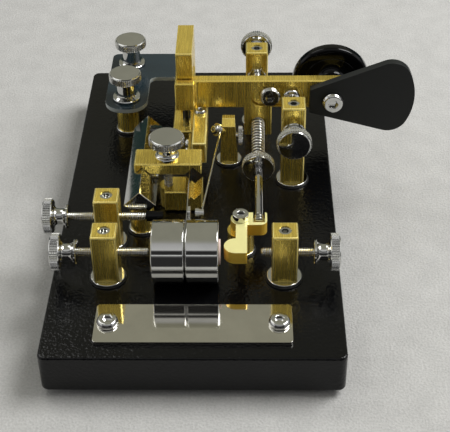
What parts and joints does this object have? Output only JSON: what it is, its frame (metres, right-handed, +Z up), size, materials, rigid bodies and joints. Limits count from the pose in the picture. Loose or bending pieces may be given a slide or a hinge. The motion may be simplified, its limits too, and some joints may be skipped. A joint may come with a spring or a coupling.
{
  "type": "semi-automatic telegraph key",
  "caption": "Semi-automatic telegraph key with a sprung finger lever, weighted pendulum strip, damper crank, sliding carriage, adjusting thumb screws and terminals on a slab base.",
  "frame": {"origin": "centre of the flat underside of the rubber mat that the slab stands on", "axes": "+X along the finger lever towards the paddle, +Y from the weights to the terminals, +Z up"},
  "size_m": [0.1247, 0.1614, 0.0567],
  "materials": {
    "base_paint": "fine textured black paint",
    "mat_rubber": "matte black rubber",
    "nameplate_chrome": "mirror polished",
    "brass": "bright polished brass",
    "chrome": "polished chrome",
    "screw_steel": "plain steel",
    "ring_black": "matte black insulator",
    "paddle_black": "matte black plastic",
    "knob_black": "glossy black plastic",
    "plate_slate": "glossy dark slate insulator",
    "strip_steel": "bright spring steel",
    "spring_steel": "bright spring wire",
    "contact_silver": "bright silver contact",
    "pad_felt": "pale pinkish felt"
  },
  "bodies": {
    "base_body": {"base": "base_paint", "rubber_mat": "mat_rubber", "nameplate": "nameplate_chrome", "nameplate_screws": "chrome", "insulating_rings": "ring_black", "post_washers": "chrome", "post_screws": "screw_steel", "left_near_post": "brass", "right_near_post": "brass", "left_far_post": "brass", "near_stop_post": "brass", "far_stop_post": "brass", "dot_contact_post": "brass", "rail_posts": "brass", "crank_post": "brass", "terminal_standoffs": "brass", "post_set_screws": "chrome", "diamond_rail": "chrome", "pivot_frame": "brass", "pivot_pin": "screw_steel", "crank_screw": "chrome", "dot_wire_screw": "chrome", "dot_contact_wire": "contact_silver", "dot_contact_bead": "contact_silver", "terminal_plate": "plate_slate", "terminal_studs": "screw_steel"},
    "lever_body": {"lever": "brass", "dash_contact_plate": "brass", "dash_contact_screw": "chrome", "dash_contact_button": "contact_silver", "paddle": "paddle_black", "paddle_screw": "chrome", "finger_knob": "knob_black", "pendulum_arm": "brass", "pendulum_arm_screw": "chrome", "strip_clamp": "brass", "strip_clamp_screws": "chrome"},
    "pendulum_body": {"pendulum_strip": "strip_steel", "left_weight": "chrome", "right_weight": "chrome", "weight_bolt": "screw_steel", "weight_pad": "pad_felt", "pendulum_contact": "contact_silver"},
    "crank_body": {"damper_crank": "brass"},
    "rod_body": {"push_rod": "chrome", "return_spring": "spring_steel"},
    "spring_nut_body": {"spring_nut": "chrome"},
    "left_near_screw_body": {"left_near_screw": "chrome"},
    "right_near_screw_body": {"right_near_screw": "chrome"},
    "left_far_screw_body": {"left_far_screw": "chrome", "damper_tip": "knob_black"},
    "near_stop_screw_body": {"near_stop_screw": "chrome"},
    "far_stop_screw_body": {"far_stop_screw": "chrome"},
    "far_stop_nut_body": {"far_stop_nut": "chrome"},
    "carriage_body": {"carriage_bar": "brass", "carriage_block": "brass"},
    "carriage_screw_body": {"carriage_screw": "chrome"},
    "dot_screw_body": {"dot_contact_screw": "chrome"},
    "near_terminal_body": {"near_terminal_nut": "chrome"},
    "far_terminal_body": {"far_terminal_nut": "chrome"}
  },
  "joints": [
    {"name": "lever_swing", "type": "hinge", "parent": "base_body", "child": "lever_body", "pos_m": [-0.0057, 0.03, 0.0409], "axis": [0, 0, 1], "range_deg": [-0.35, 0.7], "stiffness_Nm_per_rad": 0.5},
    {"name": "pendulum_swing", "type": "hinge", "parent": "lever_body", "child": "pendulum_body", "pos_m": [-0.0029, 0.0075, 0.02845], "axis": [0, 0, 1], "range_deg": [-0.6, 0.6], "stiffness_Nm_per_rad": 0.3},
    {"name": "crank_turn", "type": "hinge", "parent": "base_body", "child": "crank_body", "pos_m": [0.0142, -0.0311, 0.0271], "axis": [0, 0, 1], "range_deg": [-1.6, 3.2]},
    {"name": "rod_slide", "type": "slide", "parent": "base_body", "child": "rod_body", "axis": [0, 1, 0], "range_m": [-0.0002, 0.0004]},
    {"name": "spring_nut_turn", "type": "hinge", "parent": "rod_body", "child": "spring_nut_body", "pos_m": [0.0201, -0.00185, 0.0287], "axis": [0, 1, 0], "continuous": true},
    {"name": "left_near_screw_turn", "type": "hinge", "parent": "base_body", "child": "left_near_screw_body", "pos_m": [-0.028, -0.0446, 0.0268], "axis": [1, 0, 0], "continuous": true},
    {"name": "right_near_screw_turn", "type": "hinge", "parent": "base_body", "child": "right_near_screw_body", "pos_m": [0.028, -0.0446, 0.0268], "axis": [1, 0, 0], "continuous": true},
    {"name": "left_far_screw_turn", "type": "hinge", "parent": "base_body", "child": "left_far_screw_body", "pos_m": [-0.029, -0.0267, 0.0268], "axis": [1, 0, 0], "continuous": true},
    {"name": "near_stop_screw_turn", "type": "hinge", "parent": "base_body", "child": "near_stop_screw_body", "pos_m": [0.032, 0.0077, 0.0401], "axis": [0, 1, 0], "continuous": true},
    {"name": "far_stop_screw_turn", "type": "hinge", "parent": "base_body", "child": "far_stop_screw_body", "pos_m": [0.0198, 0.0447, 0.0401], "axis": [0, 1, 0], "continuous": true},
    {"name": "far_stop_nut_turn", "type": "hinge", "parent": "far_stop_screw_body", "child": "far_stop_nut_body", "pos_m": [0.0198, 0.0395, 0.0401], "axis": [0, 1, 0], "continuous": true},
    {"name": "carriage_slide", "type": "slide", "parent": "base_body", "child": "carriage_body", "axis": [0, 1, 0], "range_m": [-0.008, 0.003]},
    {"name": "carriage_screw_turn", "type": "hinge", "parent": "carriage_body", "child": "carriage_screw_body", "pos_m": [-0.0104, -0.0064, 0.0362], "axis": [0, 0, 1], "continuous": true},
    {"name": "dot_screw_turn", "type": "hinge", "parent": "base_body", "child": "dot_screw_body", "pos_m": [0.0097, 0.0195, 0.0268], "axis": [1, 0, 0], "continuous": true},
    {"name": "near_terminal_turn", "type": "hinge", "parent": "base_body", "child": "near_terminal_body", "pos_m": [-0.0283, 0.04, 0.0322], "axis": [0, 0, 1], "continuous": true},
    {"name": "far_terminal_turn", "type": "hinge", "parent": "base_body", "child": "far_terminal_body", "pos_m": [-0.0283, 0.0645, 0.0322], "axis": [0, 0, 1], "continuous": true}
  ],
  "couplings": [
    {"joint": "crank_turn", "follows": "lever_swing", "ratio": 4.373},
    {"joint": "rod_slide", "follows": "lever_swing", "m_per_rad": 0.0258}
  ]
}
